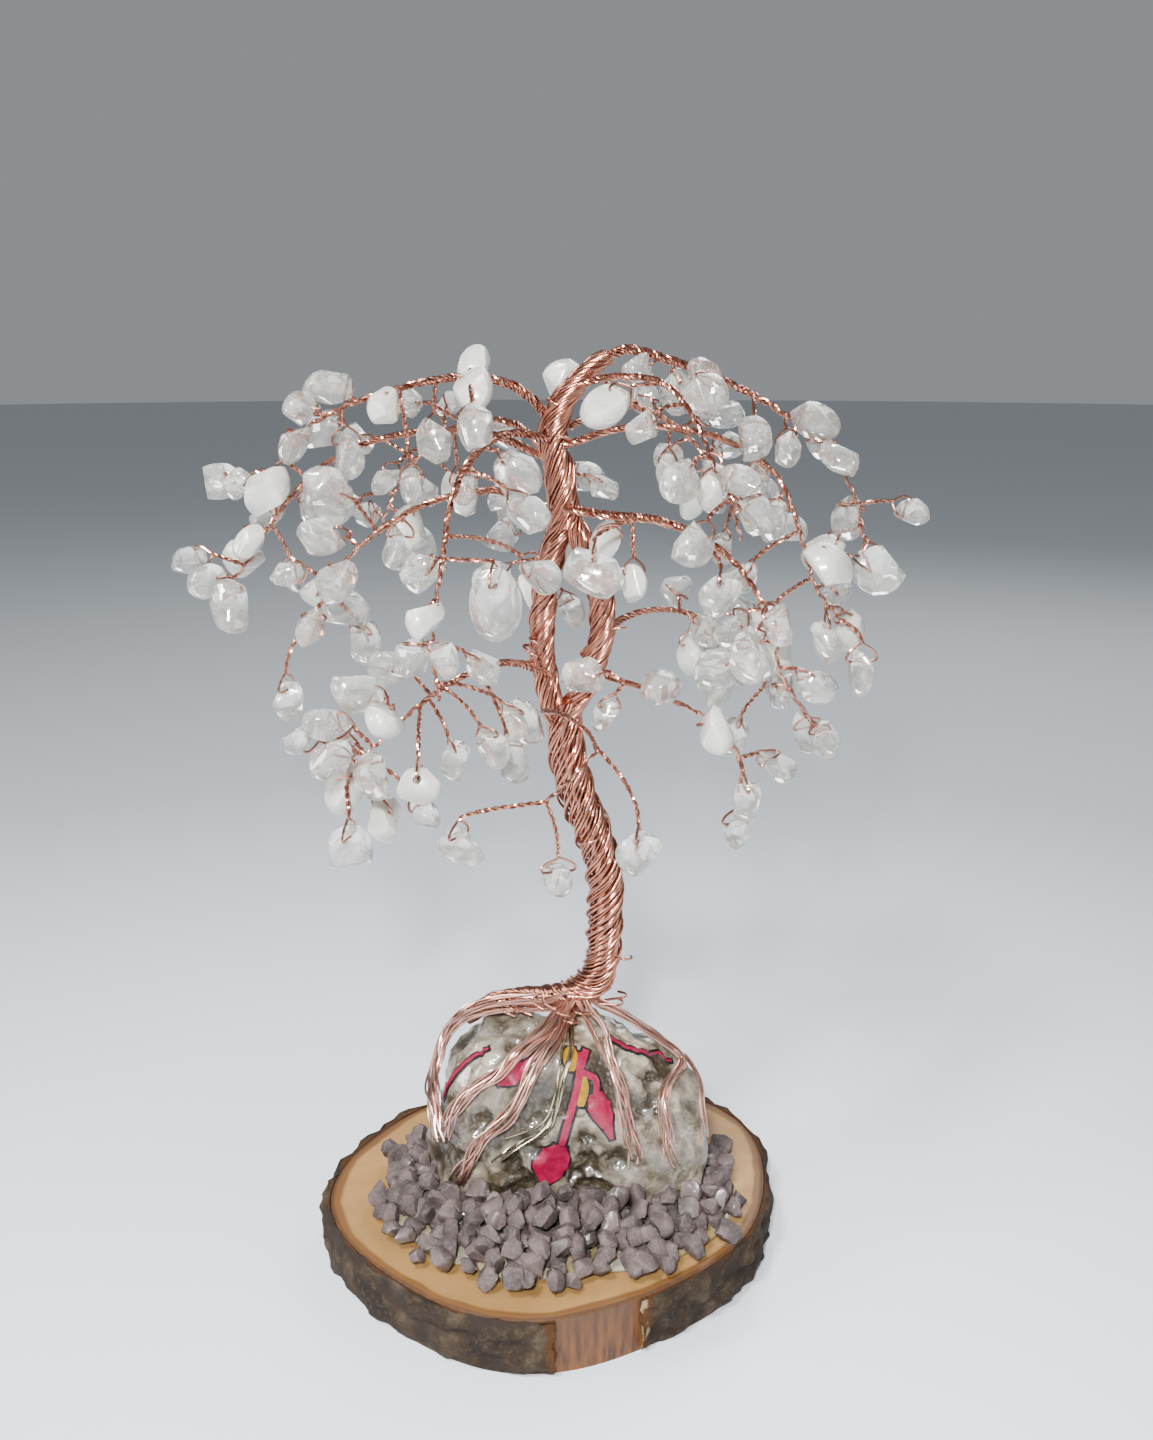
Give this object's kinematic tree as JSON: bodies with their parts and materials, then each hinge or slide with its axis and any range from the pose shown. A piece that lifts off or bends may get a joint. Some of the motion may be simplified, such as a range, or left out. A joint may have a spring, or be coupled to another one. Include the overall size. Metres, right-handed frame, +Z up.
{
  "type": "gemstone wire tree",
  "caption": "Small ornamental tree of twisted copper-coloured wire with quartz chips on drooping branches, rooted over a painted rock with gravel on a round wood slice.",
  "frame": {"origin": "middle of the wood slice's underside, on the surface that the tree stands on", "axes": "+Z up, -Y to the front, where the gravel is deepest and the bark is missing, +X to the right"},
  "size_m": [0.1344, 0.0985, 0.1767],
  "materials": {
    "pale_wood": "sanded",
    "bark": "rough",
    "clear_glue": "gloss",
    "varnished_rock": "varnished",
    "mauve_gravel": "rough",
    "rose_wire": "bright",
    "gold_wire": "bright",
    "quartz_chip": "tumbled and polished"
  },
  "bodies": {
    "tree": {"wood_slice": "pale_wood", "bark_rim": "bark", "glue_pool": "clear_glue", "feature_rock": "varnished_rock", "root_left": "rose_wire", "root_middle_left": "rose_wire", "root_front_left": "rose_wire", "root_front_gold": "gold_wire", "root_front_right": "rose_wire", "root_right": "rose_wire", "root_far_right": "rose_wire", "root_back": "rose_wire", "gravel_left": "mauve_gravel", "gravel_front": "mauve_gravel", "gravel_right": "mauve_gravel", "trunk_lower": "rose_wire", "limb_left": "rose_wire", "limb_right": "rose_wire", "trunk_upper": "rose_wire", "stem_crown_left": "rose_wire", "spray_crown_left": "quartz_chip", "stem_crown_right": "rose_wire", "spray_crown_right": "quartz_chip", "stem_right_front": "rose_wire", "spray_right_front": "quartz_chip", "stem_right_outer": "rose_wire", "spray_right_outer": "quartz_chip", "stem_right_middle": "rose_wire", "spray_right_middle": "quartz_chip", "stem_right_low": "rose_wire", "spray_right_low": "quartz_chip", "stem_left_droop": "rose_wire", "spray_left_droop": "quartz_chip", "stem_left_outer": "rose_wire", "spray_left_outer": "quartz_chip", "stem_far_left": "rose_wire", "spray_far_left": "quartz_chip", "stem_left_low": "rose_wire", "spray_left_low": "quartz_chip", "stem_front_sprig": "rose_wire", "spray_front_sprig": "quartz_chip", "stem_back_left": "rose_wire", "spray_back_left": "quartz_chip", "stem_back_right": "rose_wire", "spray_back_right": "quartz_chip", "stem_back_middle": "rose_wire", "spray_back_middle": "quartz_chip", "stem_back_low": "rose_wire", "spray_back_low": "quartz_chip"},
    "pendant_front_right_body": {"pendant_front_right": "quartz_chip"},
    "pendant_front_middle_body": {"pendant_front_middle": "quartz_chip"},
    "pendant_front_left_body": {"pendant_front_left": "quartz_chip"},
    "pendant_low_left_body": {"pendant_low_left": "quartz_chip"},
    "pendant_milky_left_body": {"pendant_milky_left": "quartz_chip"},
    "pendant_low_right_body": {"pendant_low_right": "quartz_chip"},
    "pendant_outer_left_body": {"pendant_outer_left": "quartz_chip"},
    "pendant_outer_right_body": {"pendant_outer_right": "quartz_chip"},
    "pendant_big_left_body": {"pendant_big_left": "quartz_chip"},
    "pendant_big_middle_body": {"pendant_big_middle": "quartz_chip"},
    "pendant_right_body": {"pendant_right": "quartz_chip"}
  },
  "joints": [
    {"name": "swing_front_right", "type": "hinge", "parent": "tree", "child": "pendant_front_right_body", "pos_m": [0.0143, -0.032, 0.096], "axis": [0.1736, 0.9848, 0], "range_deg": [-25, 25]},
    {"name": "swing_front_middle", "type": "hinge", "parent": "tree", "child": "pendant_front_middle_body", "pos_m": [0.001, -0.034, 0.0915], "axis": [0.9659, 0.2588, 0], "range_deg": [-25, 25]},
    {"name": "swing_front_left", "type": "hinge", "parent": "tree", "child": "pendant_front_left_body", "pos_m": [-0.0155, -0.0335, 0.0975], "axis": [0.5, 0.866, 0], "range_deg": [-25, 25]},
    {"name": "swing_low_left", "type": "hinge", "parent": "tree", "child": "pendant_low_left_body", "pos_m": [-0.0345, -0.028, 0.0955], "axis": [0.2588, 0.9659, 0], "range_deg": [-25, 25]},
    {"name": "swing_milky_left", "type": "hinge", "parent": "tree", "child": "pendant_milky_left_body", "pos_m": [-0.0225, -0.0275, 0.106], "axis": [0.0872, 0.9962, 0], "range_deg": [-25, 25]},
    {"name": "swing_low_right", "type": "hinge", "parent": "tree", "child": "pendant_low_right_body", "pos_m": [0.0318, -0.022, 0.096], "axis": [0.9397, 0.342, 0], "range_deg": [-25, 25]},
    {"name": "swing_outer_left", "type": "hinge", "parent": "tree", "child": "pendant_outer_left_body", "pos_m": [-0.0465, -0.015, 0.118], "axis": [0.342, 0.9397, 0], "range_deg": [-25, 25]},
    {"name": "swing_outer_right", "type": "hinge", "parent": "tree", "child": "pendant_outer_right_body", "pos_m": [0.054, -0.012, 0.1225], "axis": [0.9848, 0.1736, 0], "range_deg": [-25, 25]},
    {"name": "swing_big_left", "type": "hinge", "parent": "tree", "child": "pendant_big_left_body", "pos_m": [-0.0095, -0.025, 0.138], "axis": [0.2079, 0.9781, 0], "range_deg": [-25, 25]},
    {"name": "swing_big_middle", "type": "hinge", "parent": "tree", "child": "pendant_big_middle_body", "pos_m": [0.007, -0.016, 0.141], "axis": [0.1045, 0.9945, 0], "range_deg": [-25, 25]},
    {"name": "swing_right", "type": "hinge", "parent": "tree", "child": "pendant_right_body", "pos_m": [0.0275, -0.026, 0.1385], "axis": [0.1392, 0.9903, 0], "range_deg": [-25, 25]}
  ]
}
